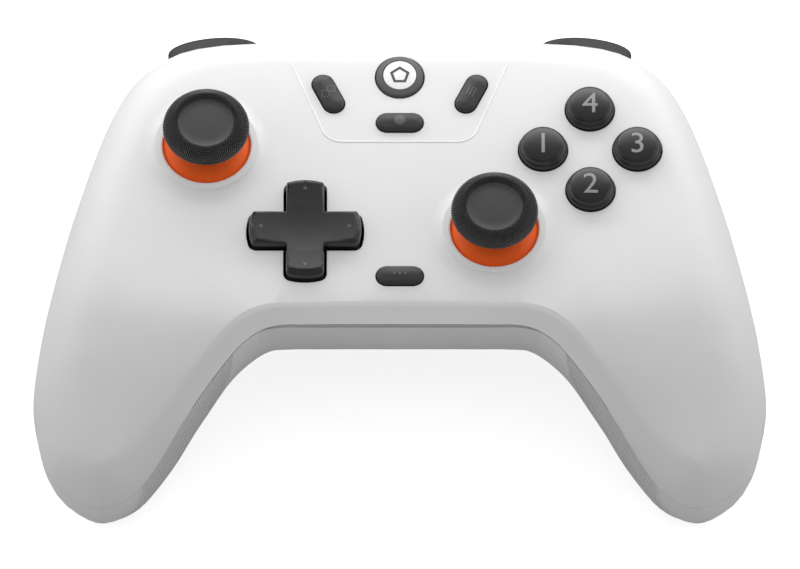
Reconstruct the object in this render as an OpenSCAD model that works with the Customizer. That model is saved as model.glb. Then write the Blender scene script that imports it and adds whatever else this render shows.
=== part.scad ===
// Game controller: a two-shell moulded pad with thumbsticks, direction pad, buttons, bumpers and triggers.
// The pad lies face up: +Z out of the face, +X to the player's right, +Y towards the bumpers.

/* [Body] */
// Width across the two grips
body_w = 155; // [150:1:164]
// Depth from the face down to the lowest point of the grips
grip_depth = 46; // [44:0.5:50]
// Depth of the middle of the body, from the face to the flat back panel
body_depth = 32; // [31:0.5:35]
// Distance from the middle of the pad to its top edge
top_y = 48.5; // [48:0.1:51]
// Distance from the middle of the pad to the ends of the grips
tip_y = 50.8; // [49:0.1:56]
// Distance of each grip end from the centre line
tip_x = 63.2; // [61:0.1:66]
// Distance from the middle of the pad to the edge of the notch between the grips
notch_y = 22.8; // [22:0.1:25]
// Half the length of the notch's straight edge
notch_half = 25; // [23:0.5:27]
// Wall of the two shells
wall = 2.2; // [1.8:0.1:2.6]
// Gap between the two shells along the seam
seam_gap = 0.2; // [0.1:0.05:0.4]

/* [Thumbsticks] */
// Distance of the left stick from the centre line
left_stick_x = 41; // [40:0.5:43]
// Distance of the left stick above the middle of the pad
left_stick_y = 18.5; // [17:0.5:20]
// Distance of the right stick from the centre line
right_stick_x = 20; // [19:0.5:22]
// Distance of the right stick below the middle of the pad
right_stick_y = 2.2; // [1:0.1:4]
// Diameter of the rubber cap
cap_d = 18.3; // [17:0.1:19]
// Height of the cap's rim above the face
cap_h = 11.1; // [10.9:0.1:12.4]
// Diameter of the smooth disc in the cap
cap_disc_d = 11.6; // [9:0.1:12]
// Diameter of the opening in the collar
collar_d = 18.8; // [18.4:0.1:19.6]
// Height of the collar above the face
collar_h = 1.5; // [1:0.1:1.8]
// Diameter of the collar's foot on the face
collar_foot_d = 28; // [25:0.5:30]
// Depth of the tilting point below the face
stick_pivot = 8.5; // [8:0.1:9]
// Tilt of a stick to each side, in degrees
stick_tilt = 18; // [12:1:20]
// Travel of a stick when it is pressed
stick_press = 0.7; // [0.4:0.1:1]

/* [Buttons] */
// Distance of the face buttons' middle from the centre line
face_x = 40.4; // [39.5:0.1:42]
// Distance of the face buttons' middle above the middle of the pad
face_y = 18; // [17:0.1:19]
// Distance of each face button from their middle
face_pitch = 10; // [9.8:0.1:11]
// Diameter of a face button
face_d = 10.2; // [9.4:0.1:10.6]
// Height of a face button above the face
face_h = 3.2; // [2.2:0.1:4]
// Travel of a face button
face_travel = 1.4; // [0.8:0.1:1.6]
// Length of a pill button
pill_l = 9.75; // [8.6:0.05:10.4]
// Width of a pill button
pill_w = 4.4; // [3.6:0.1:5]
// Height of a pill button above the face
pill_h = 1.3; // [0.8:0.1:2]
// Distance of the view and menu buttons from the centre line
pair_x = 15.2; // [14.5:0.1:16]
// Distance of the view and menu buttons above the middle of the pad
pair_y = 32; // [31:0.1:33]
// Lean of the view and menu buttons, in degrees
pair_lean = 25.5; // [20:0.5:30]
// Distance of the share button above the middle of the pad
share_y = 24.8; // [24:0.1:26]
// Distance of the mode button below the middle of the pad
mode_y = 13.2; // [12.5:0.1:14]
// Distance of the home button above the middle of the pad
home_y = 36.2; // [35.5:0.1:36.6]
// Diameter of the home button
home_d = 10.1; // [9:0.1:10.6]
// Height of the home button above the face
home_h = 0.9; // [0.5:0.1:1.6]
// Diameter of the white inlay in the home button
inlay_d = 7; // [5:0.1:8]
// Travel of the pill buttons and the home button
small_travel = 0.5; // [0.3:0.1:0.6]

/* [Direction pad] */
// Distance of the direction pad from the centre line
dpad_x = 20; // [19:0.5:22]
// Distance of the direction pad below the middle of the pad
dpad_y = 2.3; // [1:0.1:4]
// Size of the direction pad across its arms
dpad_d = 23.9; // [22:0.1:24.6]
// Width of an arm at its foot
dpad_arm = 8.1; // [7.8:0.1:9]
// Width of an arm at its top
dpad_top = 6.8; // [5.5:0.1:7]
// Height of the direction pad above the face
dpad_h = 2.8; // [2.6:0.1:4]
// Tilt of the direction pad to each side, in degrees
dpad_tilt = 5; // [3:0.5:6]

/* [Bumpers and triggers] */
// How far a bumper stands out of the top edge
bumper_bulge = 4.1; // [3:0.1:4.6]
// Height of a bumper
bumper_h = 9.4; // [8:0.1:10.4]
// How far a bumper reaches in behind the top edge
bumper_t = 3; // [2.6:0.1:3.4]
// Swing of a bumper, in degrees
bumper_swing = 2.5; // [1:0.5:3]
// Distance of a trigger's inner side from the centre line
trigger_x = 31; // [30.6:0.1:32]
// Width of a trigger
trigger_w = 19; // [16:0.5:19.4]
// Thickness of a trigger near its tip
trigger_t = 4.4; // [3:0.1:5]
// Depth of a trigger at its top
trigger_d = 8; // [7:0.1:8.4]
// Height of a trigger's tip above the surface that the grips lie on
trigger_tip = 4; // [3:0.5:6]
// Pull of a trigger, in degrees
trigger_pull = 16; // [8:1:18]

/* [Inside] */
// Clearance between pieces that move
clearance = 0.3; // [0.2:0.05:0.4]
// Distance from the face to the top of the circuit board
board_drop = 15; // [14.8:0.1:15.4]
// Thickness of the circuit board
board_t = 1.6; // [1:0.1:1.8]
// Diameter of the steel pivot pins
pin_d = 2; // [1.6:0.1:2.4]
// Diameter of the left motor
left_motor_d = 14; // [10:0.5:15]
// Diameter of the right motor
right_motor_d = 11; // [9:0.5:15]
// Diameter of a case screw's thread
screw_d = 2.2; // [1.8:0.1:2.6]

/* [Hidden] */
$fn = 48;

half_w = body_w / 2;
// Height of the face above the surface that the grips lie on
face_z = grip_depth;
under_face = face_z - wall;
back_floor = face_z - body_depth + wall;
board_top = face_z - board_drop;
board_bottom = board_top - board_t;
pivot_z = face_z - stick_pivot;

// A station gives the half outline where one cross-section meets it: the seam point on the outer edge and
// on the inner edge (x, y, height), the crown below the face, the keel below the back panel in fourteenths
// of the way to the grips' lowest point, the edge rounding of the front and of the back at both edges, how
// far the crease along the notch has softened into a round, and how far the front dips towards that crease
function station(outer, inner, crown, keel, front, back, crease) =
    concat(outer, inner, [crown, keel], front, back, crease);

tip = [tip_x, -tip_y, 13];
// The top edge is as wide as the triggers need, and the sides run from the face buttons out to the grips
trigger_out = trigger_x + trigger_w;
face_out = face_x + face_pitch;
side_w = half_w - face_out;
grip_w = half_w - tip_x;
stations = [
    station([0, top_y, face_z - 7.5], [0, -notch_y, face_z - 4],
        0, 0, [9, 3.6], [20, 20], [0, 0]),
    station([trigger_x + 7, top_y - 0.8, face_z - 7.7], [notch_half - 11.5, -notch_y, face_z - 4],
        0, 0, [9, 3.6], [20, 21.2], [0, 0]),
    station([trigger_out + 2.9, top_y - 5.8, face_z - 9], [notch_half - 5.5, -notch_y, face_z - 4.1],
        0, 0, [10, 3.6], [20, 22.5], [0, 0]),
    station([face_out + 0.395 * side_w, 31.4, face_z - 10], [notch_half, -notch_y, face_z - 4.3],
        0, 1, [0.406 * side_w, 3.6], [20, 23], [0, 0]),
    station([face_out + 0.675 * side_w, 9.4, face_z - 12], [notch_half + 4.4, -notch_y - 1, face_z - 5],
        0, 4, [0.443 * side_w, 3.6], [20, 20], [0, 0]),
    station([half_w - 3.2, -11.4, face_z - 16.5], [notch_half + 9, -notch_y - 4, face_z - 6.7],
        -1, 9, [13, 3.8], [20, 20], [0, 1]),
    station([half_w - 0.5, 26.6 - tip_y, 24.5], [notch_half + 15, 18.2 - tip_y, 34.5],
        -5, 13, [14, 4], [18.5, 14], [0.1, 2.4]),
    station([half_w, 17.3 - tip_y, 20.5], [tip_x - 17.2, 11.8 - tip_y, 28],
        -10.5, 14, [14, 4.4], [15.5, 8.5], [0.3, 4]),
    station([tip_x + 0.818 * grip_w, 7.3 - tip_y, 16.7], [tip_x - 11.2, 5.6 - tip_y, 19.3],
        -16.5, 13.5, [13, 5.5], [11.5, 6.6], [0.6, 4]),
    station([tip_x + 0.503 * grip_w, 2.9 - tip_y, 14], [tip_x - 6.4, 1.9 - tip_y, 15],
        -19.5, 12.5, [12, 9], [10, 9.5], [0.9, 2]),
    station(tip, tip, -20.5, 11, [12, 12], [11.5, 11.5], [1, 0]),
];
last = len(stations) - 1;
keel_steps = 14;
// Share of a section over which the front dips towards the notch
dip_share = 0.7;
keel_step = (grip_depth - body_depth) / keel_steps;

// Beyond the centre line the stations are mirrored, and beyond the grip end the two edges change places
function mirrored(v) = [for (i = [0 : len(v) - 1]) i == 0 || i == 3 ? -v[i] : v[i]];
function swapped(v) = concat([v[3], v[4], v[5], v[0], v[1], v[2]], [for (i = [6 : len(v) - 1]) v[i]]);
function station_at(i) =
    i < 0 ? mirrored(stations[-i]) : i > last ? swapped(stations[2 * last - i]) : stations[i];
function spline(a, b, c, d, t) =
    b + ((c - a) * t + (2 * a - 5 * b + 4 * c - d) * t * t + (3 * b - a - 3 * c + d) * t * t * t) / 2;
function along(s) =
    let (i = min(floor(s), last - 1))
    spline(station_at(i - 1), station_at(i), station_at(i + 1), station_at(i + 2), s - i);
// The place along the stations where the outer edge of the top has a given x, found by halving
function edge_place(x, low = 0, high = 3, left = 24) =
    let (mid = (low + high) / 2)
    left == 0 ? mid
        : along(mid)[0] < x ? edge_place(x, mid, high, left - 1)
        : edge_place(x, low, mid, left - 1);

// Sections lie closer together where the outline bends: so many from each station to the next
station_rows = [3, 4, 6, 8, 7, 6, 5, 4, 4];
row_places = [for (k = [0 : last - 2]) for (j = [0 : station_rows[k] - 1]) k + j / station_rows[k]];
coarse_rows = len(row_places);
fine_rows = 6;
half_rows = coarse_rows + fine_rows;
cavity_rows = coarse_rows - 2;
function row_place(i) =
    i < coarse_rows ? row_places[i] : last - pow((half_rows - i) / fine_rows, 1.5);

// Distances from the outer edge of the points across a section of length l, rounded over r and q at its ends
function spread(l, r, q, n, flat) =
    let (a = min(r, 0.42 * l), b = min(q, 0.42 * l))
    concat(
        [for (i = [0 : n]) a * (1 - cos(90 * i / n))],
        [for (i = [1 : flat - 1]) a + (l - a - b) * i / flat],
        [for (i = [n : -1 : 0]) l - b * (1 - cos(90 * i / n))]
    );
function round_off(u) = u >= 1 ? 1 : sqrt(max(0, 1 - (1 - u) * (1 - u)));
function crease(u, soft) = (1 - soft) * min(u, 1) + soft * round_off(u);

// One cross-section of a skin: front is true for the face side, inset is the wall that it lies under
function section(s, front, inset, n, flat) =
    let (
        v = along(s),
        p = [v[0], v[1]],
        q = [v[3], v[4]],
        run = norm(q - p),
        l = run - 2 * inset,
        dir = (q - p) / run,
        keel = max(face_z - body_depth - v[7] * keel_step, 0),
        level = front ? face_z + min(0, v[6]) - inset : keel + inset,
        r = max((front ? v[8] : v[10]) - inset, 1),
        w = max((front ? v[9] : v[11]) - inset * 0.6, 1),
        gap = front ? seam_gap / 2 : -seam_gap / 2
    )
    [for (d = spread(l, r, w, n, flat))
        let (
            at = p + dir * (d + inset),
            seam = v[2] + (v[5] - v[2]) * (d + inset) / run + gap,
            far = l - d,
            shape = round_off(d / r) * (front ? crease(far / w, v[12]) : round_off(far / w)),
            dip = front ? v[13] * pow(max(0, 1 - far / (dip_share * l)), 2) : 0
        )
        [at[0], at[1], seam + (level - dip - seam) * shape]
    ];

function flip_x(points, sign) = [for (p = points) [sign * p[0], p[1], p[2]]];
function turned(face, front) = front ? face : [for (i = [len(face) - 1 : -1 : 0]) face[i]];
// Closes the rim from the last solid section of a grip to the first hollow one
function rim_end(a, b, chain) =
    concat([[a, b, chain[0]]], [for (i = [0 : len(chain) - 2]) [a, chain[i], chain[i + 1]]]);

outer_steps = 6;
outer_flat = 3;
inner_steps = 3;
inner_flat = 2;

// A hollow half of the body: its outer skin, the inner skin one wall below it, and the rim between them
module skin(front) {
    n = 2 * outer_steps + outer_flat;
    m = 2 * inner_steps + inner_flat;
    rows = 2 * half_rows;
    first = half_rows - cavity_rows;
    final = half_rows + cavity_rows;
    end = tip + [0, 0, front ? seam_gap / 2 : -seam_gap / 2];
    outside = [for (i = [1 : rows - 1])
        let (s = row_place(abs(i - half_rows)))
        each flip_x(section(s, front, 0, outer_steps, outer_flat), i < half_rows ? -1 : 1)];
    inside = [for (i = [first : final])
        let (s = row_place(abs(i - half_rows)))
        each flip_x(section(s, front, wall, inner_steps, inner_flat), i < half_rows ? -1 : 1)];
    points = concat([[-end[0], end[1], end[2]]], outside, [end], inside);
    out_end = 1 + len(outside);
    function o(i, j) = i == 0 ? 0 : i == rows ? out_end : 1 + (i - 1) * (n + 1) + j;
    function c(i, j) = out_end + 1 + (i - first) * (m + 1) + j;
    function quad(a, b, d, e, left) = left ? [[a, b, e], [b, d, e]] : [[a, b, d], [a, d, e]];
    faces = concat(
        [for (j = [0 : n - 1]) [o(0, 0), o(1, j), o(1, j + 1)]],
        [for (i = [1 : rows - 2]) for (j = [0 : n - 1])
            each quad(o(i, j), o(i + 1, j), o(i + 1, j + 1), o(i, j + 1), i < half_rows)],
        [for (j = [0 : n - 1]) [o(rows - 1, j), o(rows, 0), o(rows - 1, j + 1)]],
        [for (i = [first : final - 1]) for (j = [0 : m - 1])
            each quad(c(i, j), c(i, j + 1), c(i + 1, j + 1), c(i + 1, j), i < half_rows)],
        [for (i = [first : final - 1]) each quad(o(i, 0), c(i, 0), c(i + 1, 0), o(i + 1, 0), i < half_rows)],
        [for (i = [first : final - 1]) each quad(c(i, m), o(i, n), o(i + 1, n), c(i + 1, m), i < half_rows)],
        [for (j = [1 : m - 1]) [c(first, 0), c(first, j + 1), c(first, j)]],
        [for (j = [1 : m - 1]) [c(final, 0), c(final, j), c(final, j + 1)]],
        [[o(0, 0), o(1, n), o(1, 0)], [o(rows, 0), o(rows - 1, 0), o(rows - 1, n)]],
        [for (i = [1 : first - 2]) each quad(o(i, 0), o(i, n), o(i + 1, n), o(i + 1, 0), true)],
        [for (i = [final + 1 : rows - 2]) each quad(o(i, 0), o(i, n), o(i + 1, n), o(i + 1, 0), false)],
        rim_end(o(first - 1, 0), o(first - 1, n), [o(first, n), c(first, m), c(first, 0), o(first, 0)]),
        rim_end(o(final + 1, n), o(final + 1, 0), [o(final, 0), c(final, 0), c(final, m), o(final, n)])
    );
    polyhedron(points, [for (f = faces) turned(f, front)], convexity = 8);
}

// Places on the face
left_stick = [-left_stick_x, left_stick_y];
right_stick = [right_stick_x, -right_stick_y];
dpad_at = [-dpad_x, -dpad_y];
face_at = [for (a = [180, 270, 0, 90]) [face_x + face_pitch * cos(a), face_y + face_pitch * sin(a)]];
view_at = [-pair_x, pair_y];
menu_at = [pair_x, pair_y];
share_at = [0, share_y];
mode_at = [0, -mode_y];
home_at = [0, home_y];

module at(place, z = 0) {
    translate([place[0], place[1], z]) children();
}
// The same shape on the left and on the right
module both() {
    children();
    mirror([1, 0, 0]) children();
}
// A flat shape with two round ends, along X
module stadium(l, w) {
    square([l - w, w], center = true);
    for (side = [-1, 1]) translate([side * (l - w) / 2, 0]) circle(d = w);
}

// Flanges that keep the buttons behind the face
flange_t = 1.2;
flange_rim = 1.3;
flange_top = under_face - clearance;
flange_bottom = flange_top - flange_t;
module pill_turn(lean) {
    rotate([0, 0, 90 - lean]) children();
}

// Collars and thumbstick bowls
lip_t = 0.45;
collar_rim = 1.5;
bowl_r = norm([collar_d / 2, stick_pivot + collar_h - lip_t]);
dome_r = bowl_r - clearance;
dome_t = 1.2;
module collar() {
    top_r = collar_d / 2 + collar_rim;
    foot_r = collar_foot_d / 2;
    rotate_extrude() polygon(concat(
        [[collar_d / 2, -wall / 2], [collar_d / 2, collar_h - 0.3], [collar_d / 2 + 0.3, collar_h]],
        [for (a = [0 : 15 : 90]) [foot_r - (foot_r - top_r) * cos(a), collar_h * (1 - sin(a))]],
        [[foot_r, -wall / 2]]
    ));
}

// Screws: the case screws stand in the shoulders and the grips, the board screws in the corners of the board
case_at = [[face_out + 7.6, 2], [tip_x - 0.2, 9.3 - tip_y]];
case_split = [25, 17.5];
case_low = [face_z - body_depth - 0.5, 1.2];
case_high = [face_z - 1.4, face_z - 17.3];
post_d = 6.4;
board_post_d = 5.2;
head_d = 4.2;
head_t = 1.6;
board_at = [[24, 33], [dpad_x + dpad_d / 2 + 4, -14]];
pilot_d = screw_d - 0.2;

// Motors stand on posts in the grips
motor_at = [half_w - 16.5, -24];
motor_low = 10.6;
motor_post_d = 6;
motor_post_low = 4.4;

// Bumpers lie under the front shell's edge, in a slot of the back shell, and triggers in a mouth of the back
bumper_low = stations[1][2] - clearance - bumper_h;
bumper_in = trigger_x - 0.8;
bumper_out = trigger_out - 1.4;
slot_gap = 0.4;
// Room at the outer end, which leans out past the bumper's last section
slot_lean = 1;
module bumper_slot() {
    back = along(edge_place(bumper_out))[1] - bumper_t - 4;
    translate([bumper_in - slot_gap, back, bumper_low - slot_gap])
        cube([bumper_out - bumper_in + 2 * slot_gap + slot_lean, 25, bumper_h + 4]);
}
trigger_y = top_y - 0.3;
trigger_pin = [33, face_z - 20];
trigger_top = bumper_low - 0.8;
hub_r = pin_d / 2 + 2;
// The mouth reaches as far in as the foot of a pulled trigger's cheeks comes
mouth_y = trigger_pin[0] - hub_r * sin(trigger_pull) - 2 * clearance;

// The line moulded round the middle buttons
line_w = 0.4;
line_depth = 0.3;
line_low = 20.1;
line_half = 15.35;
line_lean = 21.4;
line_r = 4.5;
line_high = 39.5;
module panel_line() {
    turn = 90 - line_lean;
    reach = line_r * tan(turn / 2);
    side = (line_high - line_low) / cos(line_lean) - reach;
    both() {
        translate([0, line_low - line_w / 2, 0]) cube([line_half - reach, line_w, line_depth + 1]);
        translate([line_half - reach, line_low + line_r, 0]) intersection() {
            difference() {
                cylinder(r = line_r + line_w / 2, h = line_depth + 1);
                translate([0, 0, -1]) cylinder(r = line_r - line_w / 2, h = line_depth + 3);
            }
            linear_extrude(line_depth + 1)
                polygon(2 * line_r * [[0, 0], [0, -1], [tan(turn / 2), -1], [sin(turn), -cos(turn)]]);
        }
        translate([line_half - reach + line_r * sin(turn), line_low + line_r * (1 - cos(turn)), 0])
            rotate([0, 0, turn]) translate([0, -line_w / 2, 0]) cube([side, line_w, line_depth + 1]);
    }
}

module front_shell() {
    color("whitesmoke") difference() {
        union() {
            skin(true);
            for (stick = [left_stick, right_stick]) at(stick, face_z) collar();
            both() for (i = [0, 1])
                at(case_at[i], case_split[i]) cylinder(d = post_d, h = case_high[i] - case_split[i]);
            both() for (p = board_at)
                at(p, board_top) cylinder(d = board_post_d, h = under_face + 1 - board_top);
        }
        for (stick = [left_stick, right_stick]) {
            at(stick, pivot_z) sphere(r = bowl_r);
            at(stick, under_face) cylinder(d = collar_d, h = wall + collar_h + 1);
        }
        for (p = face_at) at(p, under_face - 1) cylinder(d = face_d + 2 * clearance, h = wall + 2);
        at(home_at, under_face - 1) cylinder(d = home_d + 2 * clearance, h = wall + 2);
        at(dpad_at, under_face - 1) linear_extrude(wall + 2) dpad_outline(clearance + dpad_play);
        for (p = [share_at, mode_at]) at(p, under_face - 1) pill_hole();
        at(view_at, under_face - 1) pill_turn(-pair_lean) pill_hole();
        at(menu_at, under_face - 1) pill_turn(pair_lean) pill_hole();
        at([0, 0], face_z - line_depth) panel_line();
        both() {
            for (i = [0, 1]) at(case_at[i], case_split[i] - 1) cylinder(d = pilot_d, h = 8);
            for (p = board_at) at(p, board_top - 1) cylinder(d = pilot_d, h = 8);
        }
    }
}
module pill_hole() {
    linear_extrude(wall + 2) stadium(pill_l + 2 * clearance, pill_w + 2 * clearance);
}

socket_w = 8.9;
socket_h = 3.2;
socket_l = 7.3;
socket_z = board_top + socket_h / 2 + 0.1;
socket_y = top_y - 1;

module back_shell() {
    color("gainsboro") difference() {
        union() {
            skin(false);
            both() {
                for (i = [0, 1]) at(case_at[i], case_low[i])
                    cylinder(d = post_d, h = case_split[i] - seam_gap - case_low[i]);
                at(motor_at, motor_post_low) cylinder(d = motor_post_d, h = motor_low - motor_post_low);
            }
        }
        both() {
            for (i = [0, 1]) {
                at(case_at[i], -1) cylinder(d = screw_d + 0.6, h = face_z);
                at(case_at[i], -1) cylinder(d = head_d + 0.6, h = case_low[i] + 3 + 1);
            }
            bumper_slot();
            translate([trigger_x - clearance, mouth_y, -1])
                cube([trigger_w + 2 * clearance, 30, bumper_low + 1]);
        }
        translate([0, socket_y - socket_l, socket_z]) rotate([-90, 0, 0])
            linear_extrude(20) stadium(socket_w + 0.8, socket_h + 0.8);
    }
}

board_half = face_out + 1.6;
module main_board() {
    half = [[0, -16.4], [board_half - 4, -16.4], [board_half, -6], [board_half, 26], [board_half - 4, 29.6],
        [trigger_x - 3, 29.6], [trigger_x - 3, 38.5], [6.5, 38.5], [6.5, top_y - 4.5], [0, top_y - 4.5]];
    color("darkgreen") difference() {
        translate([0, 0, board_bottom]) linear_extrude(board_t)
            polygon(concat(half, [for (i = [len(half) - 1 : -1 : 0]) [-half[i][0], half[i][1]]]));
        both() for (p = board_at) at(p, board_bottom - 1) cylinder(d = screw_d + 0.4, h = board_t + 2);
    }
}

battery_size = [46, 27, 9];
module battery_pack() {
    color("silver") translate([0, 13, back_floor + clearance + battery_size[2] / 2]) {
        difference() {
            cube(battery_size, center = true);
            for (x = [-1, 1]) for (z = [-1, 1])
                translate([x * battery_size[0] / 2, 0, z * battery_size[2] / 2]) rotate([0, 45, 0])
                    cube([2, battery_size[1] + 2, 2], center = true);
        }
    }
}

module charging_socket() {
    color("lightgray") translate([0, socket_y - socket_l, socket_z]) rotate([-90, 0, 0]) {
        difference() {
            linear_extrude(socket_l) stadium(socket_w, socket_h);
            translate([0, 0, 1]) linear_extrude(socket_l) stadium(socket_w - 0.6, socket_h - 0.6);
        }
        translate([-3.3, -0.35, 0.5]) cube([6.6, 0.7, socket_l - 1.2]);
    }
}

// Silicone pads on the board: a sheet with a collar under each button
pad_t = 1;
collar_in = 3;
collar_out = 4.2;
plunger_r = 2.4;
module pad_collar(top) {
    difference() {
        cylinder(r = collar_out, h = top - board_top);
        translate([0, 0, pad_t]) cylinder(r = collar_in, h = top);
    }
}
module face_contact_pad() {
    color("dimgray") {
        difference() {
            at([face_x, face_y], board_top) rotate([0, 0, 45])
                translate([0, 0, pad_t / 2]) cube([1.9 * face_pitch, 1.9 * face_pitch, pad_t], center = true);
            for (p = face_at) at(p, board_top - 1) cylinder(r = collar_out - 0.1, h = pad_t + 2);
        }
        for (p = face_at) at(p, board_top) pad_collar(flange_bottom - face_travel - clearance);
    }
}

dpad_pivot = face_z - 4;
dpad_foot = face_z - 5;
dpad_room = 7;
dpad_play = 0.27;
module dpad_contact_pad() {
    half = dpad_d / 2 + 0.5;
    color("dimgray") at(dpad_at, board_top) {
        difference() {
            translate([-half, -half, 0]) cube([2 * half, 2 * half, pad_t]);
            translate([-8, -3.6, -1]) cube([16, 7.2, pad_t + 2]);
        }
        for (a = [0 : 90 : 270]) rotate([0, 0, a]) translate([dpad_d / 2 - 2.4, 0, pad_t])
            cylinder(r = 2, h = dpad_foot - dpad_d / 2 * sin(dpad_tilt) - 0.5 - board_top - pad_t);
    }
}

// Push switches on the board under the small buttons
switch_h = 3.4;
switch_at = [view_at, menu_at, share_at, mode_at, home_at];
module push_switches() {
    color("slategray") for (p = switch_at) at(p, board_top) {
        translate([-2.3, -2.3, 0]) cube([4.6, 4.6, switch_h - 1]);
        cylinder(d = 2.4, h = switch_h);
    }
}

module screw(l) {
    difference() {
        union() {
            cylinder(d = screw_d, h = l);
            translate([0, 0, -head_t]) cylinder(d = head_d, h = head_t);
        }
        for (a = [0, 90]) rotate([0, 0, a]) translate([-1.1, -0.25, -head_t - 1]) cube([2.2, 0.5, 1.8]);
    }
}
module case_screws() {
    color("dimgray") both() for (i = [0, 1])
        at(case_at[i], case_low[i] + 3) screw(case_split[i] - case_low[i] + 3);
}
module board_screws() {
    color("dimgray") both() for (p = board_at) at(p, board_bottom) screw(board_t + 5);
}

// Gimbal: the yoke tilts on pins along X, and carries the pins of a stem along Y
yoke_in = 3;
yoke_out = 4.5;
yoke_h = 2.4;
gimbal_pin_r = 0.7;
gimbal_play = 0.2;
frame_in = 4.9;
frame_out = 6;
stem_r = 1.9;
module yoke() {
    difference() {
        union() {
            cylinder(r = yoke_out, h = yoke_h, center = true);
            rotate([0, 90, 0]) cylinder(r = gimbal_pin_r, h = 2 * frame_out - 0.6, center = true);
        }
        cylinder(r = yoke_in, h = 2 * yoke_h, center = true);
        rotate([90, 0, 0]) cylinder(r = gimbal_pin_r + gimbal_play, h = 3 * yoke_out, center = true);
    }
}
module stem(top) {
    translate([0, 0, -2.2]) cylinder(r = stem_r, h = top + 2.2);
    rotate([90, 0, 0]) cylinder(r = gimbal_pin_r, h = 2 * yoke_out - 0.6, center = true);
}
module pin_hole() {
    rotate([0, 90, 0]) cylinder(r = gimbal_pin_r + gimbal_play, h = 30, center = true);
}

base_half = 7.5;
base_wall = 1.2;
base_top = pivot_z + 2;
cradle_low = pivot_z - 4.2;
module stick_base() {
    difference() {
        union() {
            translate([-base_half, -base_half, board_top])
                cube([2 * base_half, 2 * base_half, base_top - board_top]);
            translate([-base_half - 1.8, -4, board_top]) cube([3, 8, pivot_z - board_top]);
            translate([-4, -base_half - 1.8, board_top]) cube([8, 3, pivot_z - board_top]);
        }
        translate([base_wall - base_half, base_wall - base_half, board_top + 1])
            cube([2 * (base_half - base_wall), 2 * (base_half - base_wall), 20]);
    }
    translate([0, 0, board_top + 0.5])
        cylinder(r = 1.5, h = cradle_low - stick_press - clearance - board_top - 0.5);
}
module stick_cradle() {
    out = base_half - base_wall - clearance;
    difference() {
        translate([-out, -out, cradle_low]) cube([2 * out, 2 * out, 5.8]);
        translate([-frame_in, -frame_in, cradle_low + 1]) cube([2 * frame_in, 2 * frame_in, 20]);
        translate([0, 0, cradle_low - 1]) cylinder(r = 3.6, h = 3);
        translate([0, 0, pivot_z]) pin_hole();
    }
}
// The dome reaches past the collar's lip when the stick is tilted all the way
dome_edge = asin(collar_d / 2 / bowl_r) + stick_tilt + 9.5;
cap_stem_r = 2.6;
cap_neck = 3.4;
module stick_dome() {
    top = sqrt(dome_r * dome_r - cap_stem_r * cap_stem_r);
    translate([0, 0, pivot_z]) {
        difference() {
            sphere(r = dome_r);
            sphere(r = dome_r - dome_t);
            translate([0, 0, dome_r * cos(dome_edge) - 30]) cylinder(r = 2 * dome_r, h = 30);
        }
        stem(dome_r - dome_t / 2);
        translate([0, 0, top - 0.3]) cylinder(r = cap_stem_r, h = cap_h - 3.7 + stick_pivot - top);
    }
}
// Profile of the cap from its bore out to the rim and back to the middle of its disc
module stick_cap() {
    r = cap_d / 2;
    low = dome_r - stick_pivot + 0.3;
    rotate_extrude() polygon([
        [0, cap_h - 3.2], [cap_stem_r + 0.05, cap_h - 3.2], [cap_stem_r + 0.05, low], [cap_neck, low],
        [cap_neck, cap_h - 4.5], [r - 1, cap_h - 3.8], [r - 0.3, cap_h - 3.4], [r, cap_h - 2.9],
        [r, cap_h - 2.2], [r - 0.3, cap_h - 1.5], [r - 0.8, cap_h - 0.95], [r - 1.4, cap_h - 0.5],
        [r - 2, cap_h - 0.15], [r - 2.4, cap_h], [cap_disc_d / 2 + 0.5, cap_h - 0.15],
        [cap_disc_d / 2, cap_h - 0.6], [cap_disc_d / 2 - 0.3, cap_h - 0.7], [0, cap_h - 0.6]
    ]);
}

module left_stick_base() {
    color("darkslategray") at(left_stick) stick_base();
}
module left_stick_cradle() {
    color("gray") at(left_stick) stick_cradle();
}
module left_stick_yoke() {
    color("silver") at(left_stick, pivot_z) yoke();
}
module left_stick_dome() {
    color("orangered") at(left_stick) stick_dome();
}
module left_stick_cap() {
    color("#222222") at(left_stick, face_z) stick_cap();
}
module right_stick_base() {
    color("darkslategray") at(right_stick) stick_base();
}
module right_stick_cradle() {
    color("gray") at(right_stick) stick_cradle();
}
module right_stick_yoke() {
    color("silver") at(right_stick, pivot_z) yoke();
}
module right_stick_dome() {
    color("orangered") at(right_stick) stick_dome();
}
module right_stick_cap() {
    color("#222222") at(right_stick, face_z) stick_cap();
}

module dpad_bracket() {
    color("gray") at(dpad_at) difference() {
        union() {
            translate([-7.6, -3.2, board_top]) cube([15.2, 6.4, pad_t]);
            for (side = [-1, 1]) translate([side * (frame_in + frame_out) / 2 - 0.55, -1.6, board_top])
                cube([frame_out - frame_in, 3.2, dpad_pivot + 1.2 - board_top]);
        }
        translate([0, 0, dpad_pivot]) pin_hole();
    }
}
module dpad_yoke() {
    color("silver") at(dpad_at, dpad_pivot) yoke();
}
// The arms have upright skirts, a rounded shoulder and a top plate that stands on a fine step, and their ends
// follow a circle with rounded corners
dpad_plate = 0.4;
dpad_step = 0.2;
dpad_skirt = 0.9;
dpad_corner = 1.3;
dpad_end_in = 1;
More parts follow.
